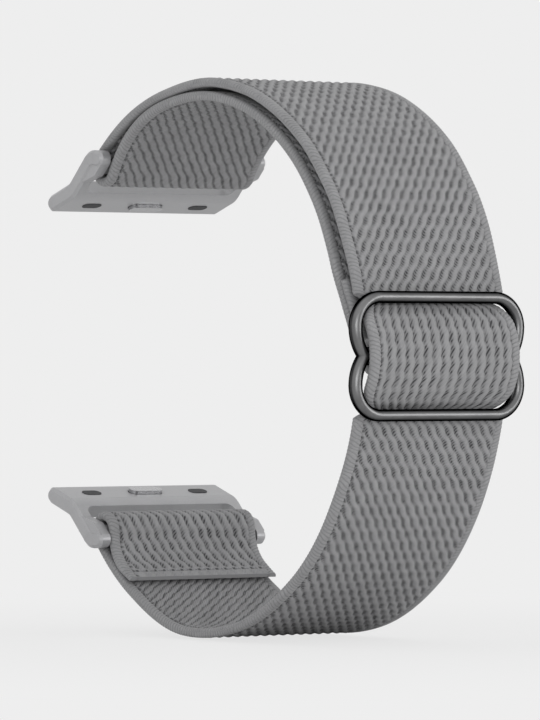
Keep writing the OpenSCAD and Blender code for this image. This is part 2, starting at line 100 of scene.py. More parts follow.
SIDE_CLEAR = 0.35       # gap beside the webbing at the adjuster's waist
TURN_LEAD = 5.0         # length of a run that belongs to the turn at the upper adapter
PASS_LEAD = 2.5         # length of a run that belongs to the pass through the adjuster
HEM_LEAD = 1.1          # length of the lower run that belongs to the fold
PASS_ROOM = 0.07        # extra gap between the pass and the end loop
BEND_SLACK = 0.55       # inner radius of the webbing's bend beside the centre bar

# Sizes of the weave, measured on the photograph

COLUMN = 1.43           # pitch of the dimples across the webbing
PITCH = 1.9             # and along it
COLUMNS = 15            # columns of dimples on a face
FACE_HALF = COLUMN * COLUMNS / 2    # half the width of the woven face
SELVEDGE = 1.5          # width of the rolled edge
FACE_INSET = 0.8 * SELVEDGE         # how far inside the webbing's edge the woven face ends
EDGE_R = SELVEDGE / 3   # mean radius of its section
EDGE_POWER = 0.8        # power that makes this section fuller than an ellipse
FACE_SIDE = -0.4        # cosine of the angle round the edge up to which it lies beside the face
RIB = 0.55              # pitch of the edge's ribs
RIB_POWER = 0.7         # power that makes them broader than the gaps between them
RIB_LEAN = 0.7          # how far the ribs lean round the edge, in pitches
RIB_DEPTH = 0.08        # depth of the gaps between them, as a share of the edge
TOOTH_DEPTH = 0.16      # how far they reach over the face by turns, in the same way
RELIEF = 0.3            # height of the ropes over the dimples
GROOVE_SHARE = 0.45     # height of the grooves over the dimples, as a share of that
ROPE_POWER = 0.8        # power of the ropes' rise: the lower, the broader the ropes
RIBBED_LESS = 0.35      # how much lower it is for the long ropes inside the loop
FACE_SUNK = 0.27        # how far the face's ground lies under the webbing's thickness
SEAM_W = 0.35           # width of the dip between the face and the rolled edge
SEAM_DEPTH = 0.06       # its depth
SEAM_FLAT = 0.4         # share of the relief that is lost there
ROPE_SWAY = 0.07        # how far the ropes sway, in columns
LEAN_INSIDE = -1.6      # how far the ropes lean inside the lower run, to that outside it
LEAN_FOLD = 0.5         # and on the fold
HEM_STRIP = 2.1         # width of the pressed strip along the hem
HEM_RELIEF = 0.2        # height of the face there
HEM_THIN = 0.5          # share of the hem's thickness that is left at its end
HEM_EASE = 0.08         # half of how softly the strip begins, as a share of the hem
HEM_EDGE = (1 - HEM_STRIP / HEM_FLAT - HEM_EASE, 1 - HEM_STRIP / HEM_FLAT + HEM_EASE)
HEM_KIND = 0.45         # what marks the hem's end for the material; the rolled edge has 1

FACE_STEPS = 8          # mesh columns for each column of dimples
ROW_STEPS = 10          # mesh rows for each row of dimples
RIB_STEPS = 5           # mesh rows for each rib
EDGE_SIDES = 24         # mesh columns round the rolled edge

STITCH_PITCH = (WEB_W - 3 * WEB_T) / STITCHES
THREAD_R = 0.15         # radius of the thread
THREAD_DIP = 0.16       # how far it dips into the webbing at its ends
THREAD_TWIST = 0.16     # depth of its twist, as a share of its radius
THREAD_LAY = 2.5        # how far it is twisted from its middle to an end, in radians
THREAD_TAPER = 0.35     # share of its radius that it loses at its ends
THREAD_RINGS, THREAD_SIDES = 15, 12     # mesh rows and columns of a thread

# How the webbing departs from its plain arcs in the photograph. First the angle about the
# loop's centre, then how far the outer and the inner layer stand off outward
SWELL_AT = (78, 98, 112, 130, 142, 160, 205, 234, 255, 275, 296)
SWELL_OUT = (0, 0.6, 0.8, 0.8, 0.5, 0, 0, 0.6, 0.9, 0.9, 0)
SWELL_IN = (0, 0.2, 0.3, 0.3, 0.15, 0, 0, 0, 0, 0, 0)

# In the same way, how much wider each half is than at the adjuster
WIDE_AT = (48, 68, 120, 150, 164, 196, 215, 250, 285, 312)
WIDE_BY = (0.15, 0.45, 0.5, 0.3, 0.1, 0.1, 0.3, 0.5, 0.4, 0.15)

WAIST_EASE = 4.0        # length over which the end loop widens again above the adjuster's bar
PINCH_EASE = 0.55       # half the length over which the webbing widens at the bar itself
PASS_WIDER = 0.1        # how much wider each half of the pass may be than the webbing
PASS_ASIDE = 0.2        # how far the pass sits towards the viewer's side of the adjuster
CORNER_ROOM = 0.05      # extra gap at the adjuster's rounded corners

ARC_STEP = 0.04         # length of the steps along an arc
ARC_POINTS = 8          # least number of points on a stretch of the route
PAST_END = 200.0        # longer than what follows the adjuster


# Route of the webbing

def pol(c, r, a):
    """The point at radius r and angle a from c."""
    return np.array(c) + r * np.array([math.cos(math.radians(a)), math.sin(math.radians(a))])


def heading(a, b):
    """The angle at which b is seen from a."""
    return math.degrees(math.atan2(b[1] - a[1], b[0] - a[0]))


def turn_of(length, r):
    """The angle of an arc of that length."""
    return math.degrees(length / r)


def shift(p, r, a, t, side):
    """How far the centre moves from p so that an arc leaving (p, r) at a touches a circle at t."""
    v = np.array(t) - p
    return ((r + side) ** 2 - v @ v) / (2 * (r + side - v @ pol([0, 0], 1, a)))


def meet(c1, r1, c2, r2):
    """The point at distance r1 from c1 and r2 from c2, on the left of the way to c2."""
    d = math.dist(c1, c2)
    a = (r1 * r1 - r2 * r2 + d * d) / (2 * d)
    u = (np.array(c2) - c1) / d
    return c1 + a * u + math.sqrt(r1 * r1 - a * a) * np.array([-u[1], u[0]])


def arc(c, r, a0, a1):
    """Length, point and right-hand normal along an arc from angle a0 to a1."""
    n = max(ARC_POINTS, int(abs(math.radians(a1 - a0)) * r / ARC_STEP))
    a = np.radians(np.linspace(a0, a1, n))
    ray = np.stack([np.cos(a), np.sin(a)], 1)
    return r * abs(a - a[0]), np.array(c) + r * ray, math.copysign(1, a1 - a0) * ray


def line(a, b):
    """The same along a straight stretch from a to b."""
    t = np.linspace(0, 1, ARC_POINTS)[:, None]
    d = np.array(b) - a
    side = np.array([d[1], -d[0]]) / np.linalg.norm(d)
    return t[:, 0] * np.linalg.norm(d), a + t * d, np.repeat(side[None], ARC_POINTS, 0)


tip = np.array([TIP_Y, LUG_SPAN / 2])
heel = pol(tip, TONGUE_L, 180 - TONGUE_SLOPE)
shoulder = pol(heel, ARM_L, 180 - ARM_SLOPE)
arm_end = pol(shoulder, HOOK_L, 180 + HOOK_SLOPE)
run_r = LOOP_D / 2 - WEB_T / 2
turn_r = BAR_D / 2 + BAR_CLEAR + WEB_T / 2
arm_rise = arm_end[1] + LOOP_DROP
loop_c = arm_end - [math.sqrt((run_r - turn_r) ** 2 - arm_rise ** 2), arm_rise]
bar_angle = heading(loop_c, arm_end) - turn_of(BAR_BACK, run_r - turn_r)
upper_bar = pol(loop_c, run_r - turn_r, bar_angle)
lower_bar = upper_bar * [1, -1]
layer_step = WEB_T + LAYER_GAP

inner_r = run_r - layer_step - INNER_DROP
inner_c = pol(loop_c, INNER_DROP, TOUCH_ANGLE)
inner_shift = shift(inner_c, inner_r, TOUCH_ANGLE, upper_bar, turn_r)
upper_c, upper_r = pol(inner_c, inner_shift, TOUCH_ANGLE), inner_r - inner_shift
upper_in = heading(upper_c, upper_bar)

lower_shift = shift(loop_c, run_r, 270, lower_bar, -turn_r)
lower_c, lower_r = pol(loop_c, lower_shift, 270), run_r - lower_shift
hem_r = lower_r - layer_step
hem_start = 360 - HEM_ANGLE
hem_end = hem_start - turn_of(HEM_FLAT, hem_r)
fold_start = hem_end - turn_of(HEM_LEAD, lower_r)
hem_shift = shift(lower_c, hem_r, hem_start, lower_bar, turn_r)
taper_c, taper_r = pol(lower_c, hem_shift, hem_start), hem_r - hem_shift
lower_out = heading(lower_c, lower_bar) + 360
lower_in = heading(taper_c, lower_bar) + 360

bar_z = (SLIDER_H - SLIDER_BAR) / 2
wrap_r = SLIDER_DEPTH / 2 + WRAP_CLEAR + WEB_T / 2
bar_drop = math.degrees(math.asin(bar_z / (run_r + wrap_r)))
slider_at = loop_c - [(run_r + wrap_r) * math.cos(math.radians(bar_drop)), 0]
top_bar, low_bar = slider_at + [0, bar_z], slider_at - [0, bar_z]
centre_at = slider_at + [SLIDER_DEPTH / 2 - CENTRE_T / 2, 0]
ring_r = CENTRE_T / 2 + LAYER_GAP + WEB_T / 2
ring_top = centre_at + [0, (CENTRE_H - CENTRE_T) / 2]
ring_low = centre_at - [0, (CENTRE_H - CENTRE_T) / 2]
pass_apex = centre_at - [ring_r + layer_step + PASS_ROOM, 0]
apex_step = slider_at[0] - pass_apex[0]
pass_r = (bar_z ** 2 + apex_step ** 2 - wrap_r ** 2) / (2 * (wrap_r + apex_step))
pass_c = pass_apex + [pass_r, 0]
pass_end = bar_drop + turn_of(PASS_LEAD, run_r)
wrap_out = heading(pass_c, top_bar)
wrap_turn = wrap_out - 180

end_shift = shift(inner_c, inner_r, LOOP_LEAVE, ring_low, ring_r)
end_c, end_r = pol(inner_c, end_shift, LOOP_LEAVE), end_shift - inner_r
bend_r = WEB_T / 2 + BEND_SLACK
bend_c = meet(end_c, end_r - layer_step - bend_r, ring_top, ring_r + bend_r)
end_low = heading(end_c, ring_low)
end_tail = heading(end_c, bend_c)
end_leave = LOOP_LEAVE - 180
drawn_half = SLIDER_W / 2 - SLIDER_BAR - NOTCH - SIDE_CLEAR
corner_at = [SLIDER_W / 2 - CORNER_R, SLIDER_H / 2 - CORNER_R]

out_lead = bar_angle + turn_of(TURN_LEAD, run_r)
in_lead = upper_in + turn_of(TURN_LEAD, upper_r)

# The one band of webbing, in the pieces that the CAD model splits it into
ROUTE = {
    "webbing_slider_end_loop": [
        arc(inner_c, inner_r + layer_step, 180 - TAIL_ANGLE, LOOP_LEAVE),
        arc(end_c, end_r - layer_step, end_leave, end_tail),
        arc(bend_c, bend_r, end_tail, heading(bend_c, ring_top)),
        arc(ring_top, ring_r, heading(ring_top, bend_c), 180),
        line(ring_top - [ring_r, 0], ring_low - [ring_r, 0]),
        arc(ring_low, ring_r, 180, end_low + 360),
        arc(end_c, end_r, end_low, end_leave),
    ],
    "webbing_inner_run": [
        arc(inner_c, inner_r, LOOP_LEAVE, TOUCH_ANGLE),
        arc(upper_c, upper_r, TOUCH_ANGLE, in_lead),
    ],
    "webbing_upper_turn": [
        arc(upper_c, upper_r, in_lead, upper_in),
        arc(upper_bar, turn_r, upper_in - 180, bar_angle),
        arc(loop_c, run_r, bar_angle, out_lead),
    ],
    "webbing_outer_run": [arc(loop_c, run_r, out_lead, 180 - pass_end)],
    "webbing_slider_pass": [
        arc(loop_c, run_r, 180 - pass_end, 180 - bar_drop),
        arc(top_bar, wrap_r, -bar_drop, wrap_turn),
        arc(pass_c, pass_r, wrap_out, 360 - wrap_out),
        arc(low_bar, wrap_r, -wrap_turn, bar_drop),
        arc(loop_c, run_r, 180 + bar_drop, 180 + pass_end),
    ],
    "webbing_lower_run": [
        arc(loop_c, run_r, 180 + pass_end, 270),
        arc(lower_c, lower_r, 270, fold_start),
    ],
    "webbing_lower_fold": [
        arc(lower_c, lower_r, fold_start, lower_out),
        arc(lower_bar, turn_r, lower_out, lower_in + 180),
        arc(taper_c, taper_r, lower_in, hem_start),
        arc(lower_c, hem_r, hem_start, hem_end),
    ],
}

# The two pieces that lie behind the pass and are drawn in at the adjuster's waist
BEHIND_PASS = ("webbing_slider_end_loop", "webbing_inner_run")


def chain(parts, start):
    """One piece's length, points and normals, with its length counted on from start."""
    lengths, points, sides = [], [], []
    for s, p, n in parts:
        lengths.append(s + start)
        points.append(p)
        sides.append(n)
        start += s[-1]
    return np.concatenate(lengths), np.concatenate(points), np.concatenate(sides)


def smooth_step(x, low, high):
    """0 below low and 1 above high, easing between them."""
    t = np.clip((x - low) / (high - low), 0, 1)
    return t * t * (3 - 2 * t)


def eased(x, at, heights):
    """The height at each x, easing from one given height to the next."""
    place = np.interp(x, at, range(len(at)))
    low = np.minimum(place.astype(int), len(at) - 2)
    step = np.diff(heights)[low]
    return np.array(heights)[low] + step * smooth_step(place - low, 0, 1)


def loop_angle(point):
    """The angle of each point about the loop's centre."""
    ray = point - loop_c
    return np.degrees(np.arctan2(ray[:, 1], ray[:, 0])) % 360


def sample(path, step, name):
    """The path at even steps of about that length, swollen as the photograph shows."""
    s, p, n = path
    at = np.linspace(s[0], s[-1], max(2, round((s[-1] - s[0]) / step)) + 1)
    point = np.stack([np.interp(at, s, p[:, i]) for i in (0, 1)], 1)
    side = np.stack([np.interp(at, s, n[:, i]) for i in (0, 1)], 1)
    side /= np.linalg.norm(side, axis=1)[:, None]
    if name in ("webbing_outer_run", "webbing_inner_run", "webbing_lower_run"):
        heights = SWELL_IN if name == "webbing_inner_run" else SWELL_OUT
        swell = eased(loop_angle(point), SWELL_AT, heights)
        ray = point - loop_c
        point = point + ray / np.linalg.norm(ray, axis=1)[:, None] * swell[:, None]
    return at, point, side


def length_at(name, part):
    """Length along the webbing, to the middle of one part of a piece, in whole half pitches."""
    before = 0.0
    for piece, parts in ROUTE.items():
        if piece == name:
            before += sum(p[0][-1] for p in parts[:part]) + parts[part][0][-1] / 2
            return round(before * 2 / PITCH) * PITCH / 2
        before += sum(p[0][-1] for p in parts)


def counted(s, through):
    """Length as the weave counts it: up to the upper crossbar, back down to the adjuster, and on
    from there. through is the share of its pass through the adjuster that counts: 1 for the
    rows, and 0 for the ropes, which slant everywhere else but run straight there."""
    first = length_at("webbing_upper_turn", 1)
    second, third = (length_at("webbing_slider_pass", part) for part in (1, 3))
    turned = 2 * first - second
    on = turned + through * (third - second)
    return np.interp(s, (0, first, second, third, third + PAST_END),
                     (0, first, turned, on, on + PAST_END))


# Meshes

def tube_faces(rows, columns):
    """Quads of a closed tube of that many rings."""
    i, k = np.meshgrid(np.arange(rows - 1), np.arange(columns), indexing="ij")
    a = i * columns + k
    b = i * columns + (k + 1) % columns
    return np.stack([a, b, b + columns, a + columns], -1).reshape(-1, 4)


def tube_volume(co, quads):
    """Six times the tube's volume, which comes out negative where its faces look inward."""
    a, b, c, d = (co[quads[:, i]] for i in range(4))
    return (np.einsum("ij,ij->i", a, np.cross(b, c)) + np.einsum("ij,ij->i", a, np.cross(c, d))).sum()


class Shell:
    """Collects closed tubes with weave coordinates on each point, and makes one mesh of them."""

    def __init__(self):
        self.co, self.weave, self.faces, self.count = [], [], [], 0

    def add(self, co, weave):
        """co has the shape rows, columns, 3, and weave rows, columns, 5. The end caps have points
        of their own, so that they don't bend the shading where two pieces meet."""
        rows, columns = co.shape[:2]
        flat = co.reshape(-1, 3)
        quads = tube_faces(rows, columns)
        caps = [list(range(len(flat) + columns))[:len(flat) - 1:-1],
                list(range(len(flat) + columns, len(flat) + 2 * columns))]
        faces = quads.tolist() + caps
        if tube_volume(flat - flat.mean(0), quads) < 0:
            faces = [f[::-1] for f in faces]
        self.faces += [[v + self.count for v in f] for f in faces]
        self.co += [flat, co[0], co[-1]]
        self.weave += [weave.reshape(-1, 5), np.zeros((2 * columns, 5))]
        self.count += len(flat) + 2 * columns

    def make(self, name, material):
        """The object. Its points keep s, u and kind as weave, the ropes' length, and ribbed."""
        mesh = bpy.data.meshes.new(name)
        mesh.from_pydata((np.concatenate(self.co) * MM).tolist(), [], self.faces)
        weave = np.concatenate(self.weave).astype(np.float32)
        place = mesh.attributes.new("weave", "FLOAT_VECTOR", "POINT")
        place.data.foreach_set("vector", weave[:, :3].ravel())
        for i, key in ((3, "rope"), (4, "ribbed")):
            value = mesh.attributes.new(key, "FLOAT", "POINT")
            value.data.foreach_set("value", weave[:, i].copy())
        mesh.polygons.foreach_set("use_smooth", np.ones(len(mesh.polygons), bool))
        mesh.materials.append(material)
        mesh.update()
        return link(bpy.data.objects.new(name, mesh))


def link(thing):
    bpy.context.scene.collection.objects.link(thing)
    return thing


def past_bars(point):
    """0 between the adjuster's two bars and 1 outside them."""
    height = abs(point[:, 1] - slider_at[1])
    return smooth_step(height, bar_z - PINCH_EASE, bar_z + PINCH_EASE)


def half_width(name, point):
    """Half the webbing's width, drawn in where the adjuster holds it."""
    height = abs(point[:, 1] - slider_at[1])
    full = WEB_W / 2 + eased(loop_angle(point), WIDE_AT, WIDE_BY)
    if name in BEHIND_PASS:
        waist_top = ring_top[1] - slider_at[1] + ring_r + WEB_T
        share = smooth_step(height, waist_top, bar_z + WAIST_EASE)
        return drawn_half + (full - drawn_half) * share
    r = CORNER_R - SLIDER_BAR - CORNER_CLEAR - CORNER_ROOM
    up = np.clip(height - corner_at[1], 0, r * math.sin(math.radians(CORNER_TURN)))
    inside = np.minimum(corner_at[0] + np.sqrt(r * r - up * up) - PASS_ASIDE,
                        WEB_W / 2 + PASS_WIDER)
    return inside + (full - inside) * past_bars(point)


def aside(name, point):
    """How far the webbing's middle sits off the strap's, at the adjuster only."""
    if name in BEHIND_PASS:
        return np.zeros(len(point))
    return -PASS_ASIDE * (1 - past_bars(point))


def is_ribbed(name, face, s):
    """1 where the photograph shows long ropes with thin grooves: inside the loop, on its runs."""
    if name == "webbing_upper_turn":
        return ((face > 0) & (s < length_at(name, 1))).astype(float)
    ribbed_face = {"webbing_inner_run": 1, "webbing_lower_run": -1,
                   "webbing_lower_fold": -1}.get(name)
    return np.full(len(s), float(face == ribbed_face))


def slanted(name, face, rope_s):
    """Rope lengths on one face: they lean the other way inside the lower run, less on the fold."""
    if face < 0 and name in ("webbing_lower_run", "webbing_lower_fold"):
        return LEAN_INSIDE * rope_s
    if name == "webbing_lower_fold":
        return rope_s[0] + LEAN_FOLD * (rope_s - rope_s[0])
    return rope_s


def weave_height(s, rope_s, u, ribbed):
    """Height of the woven face: slanting ropes, with dimples between them or thin grooves."""
    across = u / COLUMN - rope_s / PITCH + ROPE_SWAY * np.sin(FULL_TURN * s / PITCH)
    rope = ((1 + np.cos(FULL_TURN * across)) / 2) ** (ROPE_POWER - RIBBED_LESS * ribbed)
    dimple = (1 - ribbed) * (1 - rope) * (1 + np.cos(FULL_TURN * s / PITCH)) / 2
    share = GROOVE_SHARE + (1 - GROOVE_SHARE) * rope - GROOVE_SHARE * dimple
    seam = smooth_step(abs(u), FACE_HALF - SEAM_W, FACE_HALF)
    return RELIEF * share * (1 - SEAM_FLAT * seam) - SEAM_DEPTH * seam


def hem_share(s, name):
    """Rises from 0 to 1 over the flat length of the hem, towards its end."""
    if name != "webbing_lower_fold":
        return np.zeros_like(s)
    return np.clip(1 - (s[-1] - s) / HEM_FLAT, 0, 1)


def thinned(s, name):
    """Share of the webbing's inner half that is left, which the hem loses towards its end."""
    return (1 - 2 * (1 - HEM_THIN) * hem_share(s, name))[:, None]


def raised(x, point, side, high):
    """Points of a surface: x across, and high over the route along its normal."""
    return np.stack([x, point[:, :1] + side[:, :1] * high, point[:, 1:] + side[:, 1:] * high], -1)


def woven_face(name, face, path, u, x):
    """Points and weave coordinates of one face of a piece: 1 is the right-hand one, -1 the other."""
    s, point, side = path
    hem = hem_share(s, name)[:, None]
    row = face * counted(s, 1)[:, None]
    rope = face * slanted(name, face, counted(s, 0))[:, None]
    ribbed = is_ribbed(name, face, s)[:, None]
    relief = weave_height(row, rope, u, ribbed)
    relief += (HEM_RELIEF - relief) * smooth_step(hem, *HEM_EDGE)
    high = face * (WEB_T / 2 - FACE_SUNK + relief)
    if face < 0:
        high = high * thinned(s, name)
    weave = np.stack(np.broadcast_arrays(row, u, hem * HEM_KIND, rope, ribbed), -1)
    return raised(x, point, side, high), weave


def add_body(shell, path, name):
    """The woven middle of a piece, with a face on each side."""
    path = sample(path, PITCH / ROW_STEPS, name)
    point = path[1]
    u = np.linspace(-1, 1, COLUMNS * FACE_STEPS + 1) * FACE_HALF
    scale = (half_width(name, point) - FACE_INSET) / FACE_HALF
    x = u[None] * scale[:, None] + aside(name, point)[:, None]
    faces = [woven_face(name, face, path, u[::face], x[:, ::face]) for face in (1, -1)]
    co, weave = (np.concatenate(part, 1) for part in zip(*faces))
    shell.add(co, weave)


def add_selvedge(shell, path, name, hand):
    """The rolled edge on one side, bound by ribs of yarn."""
    s, point, side = sample(path, RIB / RIB_STEPS, name)
    turn = np.linspace(0, FULL_TURN, EDGE_SIDES, endpoint=False)
    c, d = np.cos(turn), np.sin(turn)
    wide = np.sign(c) * abs(c) ** EDGE_POWER * SELVEDGE / 2
    high = np.sign(d) * abs(d) ** EDGE_POWER * WEB_T / 2
    phase = s[:, None] / RIB + RIB_LEAN * c[None]
    rib = 1 - RIB_DEPTH * (1 - abs(np.sin(math.pi * phase)) ** RIB_POWER)
    teeth = 1 + TOOTH_DEPTH * (c < FACE_SIDE) * np.cos(FULL_TURN * phase)
    middle = (half_width(name, point) - SELVEDGE / 2)[:, None]
    x = hand * (middle + wide * rib * teeth) + aside(name, point)[:, None]
    lift = high * rib * np.where(d < 0, thinned(s, name), 1)
    weave = np.stack(np.broadcast_arrays(phase * RIB, turn * EDGE_R, 1.0, phase * RIB, 0.0), -1)
    shell.add(raised(x, point, side, lift), weave)


# Materials

def grey(value, blue=0.0):
    """A grey, a little bluer by that much."""
    return (value, value, value + blue, 1)


# The third yarn colour is painted shade, for the weave's grooves, dimples, gaps, rib gaps and the
# stitches' shadows
YARN_LOW, YARN_HIGH, YARN_PAINTED_SHADE = grey(0.27, 0.005), grey(0.35, 0.007), grey(0.035, 0.003)
THREAD_LOW, THREAD_HIGH = grey(0.25, 0.01), grey(0.36, 0.01)
# The third gunmetal colour is a painted dark reflection, for where the metal is seen at a slant
GUNMETAL_LOW, GUNMETAL_HIGH, GUNMETAL_PAINTED_REFLECTION = grey(0.17, 0.002), grey(0.22, 0.002), grey(0.004, 0.0003)
PAINT_LOW, PAINT_HIGH = grey(0.40, 0.01), grey(0.46, 0.01)
STEEL_LOW, STEEL_HIGH = grey(0.42, 0.01), grey(0.48, 0.01)
NYLON_LOW, NYLON_HIGH = grey(0.012, 0.002), grey(0.03, 0.003)
BACKGROUND = grey(0.855)
FLOOR_COLOUR = grey(0.9)

STRANDS = 3.0           # yarns to each dimple
STRAND_SWAY = 0.05      # how far they push the groove beside them, in columns
TEETH = 5.0             # teeth of the thin grooves to each dimple
CELL_SCALE = 0.7        # how soon one dimple differs from the next
CELL_DRIFT = 0.3        # how much its place wanders, in columns
FIBRE_SCALE = 1.6       # fineness of the fibres across a rope
FIBRE_DRAWN = 5.0       # how many times finer they are along it
CLOUD_SCALE = 0.11      # fineness of the yarn's lighter and darker stretches
SPREAD = (0.3, 0.7)     # where nearly all of a noise lies


class Graph:
    """The node tree of a material or a world, with short calls for its nodes."""

    def __init__(self, owner):
        self.owner = owner
        owner.use_nodes = True
        self.tree = owner.node_tree
        self.shader = self.tree.nodes.get("Principled BSDF")

    def node(self, kind, inputs=(), **settings):
        made = self.tree.nodes.new(kind)
        for key, value in settings.items():
            setattr(made, key, value)
        for key, value in dict(inputs).items():
            self.put(made.inputs[key], value)
        return made

    def put(self, socket, value):
        """Links a socket to another one, or gives it a value."""
        if isinstance(value, bpy.types.NodeSocket):
            self.tree.links.new(value, socket)
        else:
            socket.default_value = value

    def math(self, operation, *values):
        made = self.node("ShaderNodeMath", operation=operation)
        for socket, value in zip(made.inputs, values):
            self.put(socket, value)
        return made.outputs[0]

    def plus(self, a, b):
        return self.math("ADD", a, b)

    def times(self, a, b):
        return self.math("MULTIPLY", a, b)

    def weigh(self, a, a_share, b, b_share):
        """The sum of that much of each."""
        return self.plus(self.times(a, a_share), self.times(b, b_share))

    def most(self, a, b):
        return self.math("MAXIMUM", a, b)

    def ramp(self, value, low, high, to_low=0.0, to_high=1.0):
        """value mapped smoothly from low..high to to_low..to_high."""
        made = self.node("ShaderNodeMapRange", interpolation_type="SMOOTHSTEP")
        for key, number in zip(("Value", "From Min", "From Max", "To Min", "To Max"),
                               (value, low, high, to_low, to_high)):
            self.put(made.inputs[key], number)
        return made.outputs["Result"]

    def fall(self, value, low, high):
        """1 below low and 0 above high."""
        return self.ramp(value, low, high, 1.0, 0.0)

    def noise(self, vector, scale, detail=3.0):
        made = self.node("ShaderNodeTexNoise", {"Vector": vector, "Scale": scale, "Detail": detail,
                                                "Roughness": 0.55})
        return made.outputs["Fac"]

    def wave(self, turns, operation="COSINE"):
        return self.math(operation, self.times(turns, FULL_TURN))

    def attribute(self, name, output="Fac"):
        return self.node("ShaderNodeAttribute", attribute_name=name).outputs[output]

    def place(self):
        """The point's place in the object."""
        return self.node("ShaderNodeTexCoord").outputs["Object"]

    def point(self, x, y, z):
        return self.node("ShaderNodeCombineXYZ", {"X": x, "Y": y, "Z": z}).outputs[0]

    def brushed(self, scale, stretch):
        """Fine grain drawn out along X."""
        grain = self.node("ShaderNodeMapping", {"Vector": self.place(), "Scale": (stretch, 1.0, 1.0)})
        return self.noise(grain.outputs[0], scale, 4.0)

    def mix(self, factor, a, b):
        """Between two colours."""
        made = self.node("ShaderNodeMix", data_type="RGBA")
        self.put(made.inputs["Factor"], factor)
        self.put(made.inputs[6], a)
        self.put(made.inputs[7], b)
        return made.outputs[2]

    def between(self, factor, a, b):
        """Between two numbers."""
        made = self.node("ShaderNodeMix", {"Factor": factor, "A": a, "B": b}, data_type="FLOAT")
        return made.outputs["Result"]

    def set(self, **values):
        """Sets the shader's sockets, with _ for the spaces in their names."""
        for key, value in values.items():
            self.put(self.shader.inputs[key.replace("_", " ")], value)

    def mottle(self, value, low, high, smooth, rough):
        """Colour and roughness that follow a noise."""
        self.set(Base_Color=self.mix(self.ramp(value, *SPREAD), low, high),
                 Roughness=self.ramp(value, *SPREAD, smooth, rough))

    def bump(self, height, distance, strength=1.0):
        made = self.node("ShaderNodeBump", {"Height": height, "Distance": distance,
                                            "Strength": strength})
        self.put(self.shader.inputs["Normal"], made.outputs["Normal"])


def weave_place(g):
    """Where a point is in the weave: its row, its place across the ropes, and the yarn's grain."""
    weave = g.node("ShaderNodeSeparateXYZ", {"Vector": g.attribute("weave", "Vector")})
    s, u, kind = (weave.outputs[i] for i in range(3))
    row, column = g.math("DIVIDE", s, PITCH), g.math("DIVIDE", u, COLUMN)
    cell = g.point(column, row, 3.0)
    drift = g.math("SUBTRACT", g.noise(cell, CELL_SCALE, 1.0), 0.5)
    rope = g.plus(g.math("DIVIDE", g.attribute("rope"), PITCH), g.times(drift, CELL_DRIFT))
    across = g.plus(g.math("SUBTRACT", column, rope), g.times(g.wave(row, "SINE"), ROPE_SWAY))
    along = g.plus(column, row)
    strand = g.times(along, STRANDS)
    across = g.plus(across, g.times(g.wave(strand), STRAND_SWAY))
    grain = g.point(across, g.times(along, FIBRE_DRAWN), kind)
    return SimpleNamespace(s=s, u=u, kind=kind, row=row, cell=cell, drift=drift, across=across,
                           along=along, strand=strand, fibre=g.noise(grain, FIBRE_SCALE),
                           cloud=g.noise(grain, CLOUD_SCALE, 2.0))


def dimples(g, w):
    """How much painted shade the face outside the loop gets: in its dimples, and in the gaps between
    yarns.
    """
    groove = g.fall(g.wave(w.across), -0.9, 0.6)
    row = g.wave(g.plus(w.row, g.times(w.drift, 0.6)))
    dimple = g.times(groove, g.ramp(row, -1.0, 0.1))
    # gap, low_side, strength and dash: painted shade in the gaps between yarns, on one side of each
    # groove
    gap = g.ramp(g.wave(g.plus(w.strand, w.fibre)), -0.3, 0.9)
    low_side = g.fall(g.wave(g.plus(w.across, 0.12)), -0.9, 0.5)
    strength = g.ramp(g.noise(w.cell, 0.9, 1.0), 0.35, 0.65, 0.4, 1.0)
    dash = g.times(g.times(gap, low_side), strength)
    shade = g.weigh(groove, 0.24, dimple, 0.14)
    stroke = g.weigh(groove, 0.4, dimple, 0.95)
    return g.plus(shade, g.times(stroke, dash))


def thin_groove_shade(g, w):
    """How much painted shade the face inside the loop gets: in thin toothed grooves between long
    ropes, and in slanted bands across the ropes.
    """
    groove = g.fall(g.wave(w.across), -1.0, 0.1)
    tooth = g.wave(g.plus(g.times(w.along, TEETH), g.times(w.fibre, 2.0)))
    groove = g.times(groove, g.ramp(tooth, -0.4, 0.6, 0.35, 1.0))
    return g.most(groove, g.ramp(tooth, -0.6, 1.0, 0.0, 0.26))


def pressed_hem(g, w, face):
    """The same with the hem's pressed strip: little painted shade of the weave there, and painted
    shadow in spots along the stitch row, where the thread dips in between the stitches.
    """
    low, high = (HEM_KIND * share for share in HEM_EDGE)
    face = g.times(face, g.ramp(w.kind, low, high, 1.0, 0.12))
    pitch = STITCH_PITCH * FACE_HALF / (WEB_W / 2 - FACE_INSET)
    # The spots below are painted shadow where the thread dips into the webbing, on the stitch row
    # only
    stitch_shadow = g.ramp(g.wave(g.math("DIVIDE", w.u, pitch)), 0.2, 0.8)
    off_row = g.math("ABSOLUTE", g.math("SUBTRACT", w.kind, HEM_KIND / 2))
    return g.most(face, g.times(stitch_shadow, g.ramp(off_row, 0.02, 0.05, 0.9, 0.0)))


def seam_teeth_shade(g, w):
    """How much painted shade the ragged line between the face and the rolled edge gets, stronger at
    the face's edge towards -x than at the other.
    """
    ragged = g.plus(g.math("ABSOLUTE", w.u), g.times(w.fibre, 0.5))
    seam = g.ramp(ragged, FACE_HALF - SEAM_W, FACE_HALF + 0.1)
    tooth = g.wave(g.plus(g.times(w.row, 2.0), g.times(w.drift, 2.5)))
    seam = g.times(seam, g.ramp(tooth, -0.2, 0.7, 0.1, 0.8))
    return g.times(seam, g.ramp(w.u, -1.0, 1.0, 1.0, 0.4))


def edge_rib_shade(g, w):
    """How much painted shade the gaps between the ribs of the rolled edge get."""
    rib = g.wave(g.plus(g.math("DIVIDE", w.s, RIB), g.times(w.cloud, 3.0)))
    return g.times(g.ramp(rib, 0.0, 1.0, 0.0, 0.32), g.ramp(w.fibre, 0.3, 0.6, 0.3, 1.0))


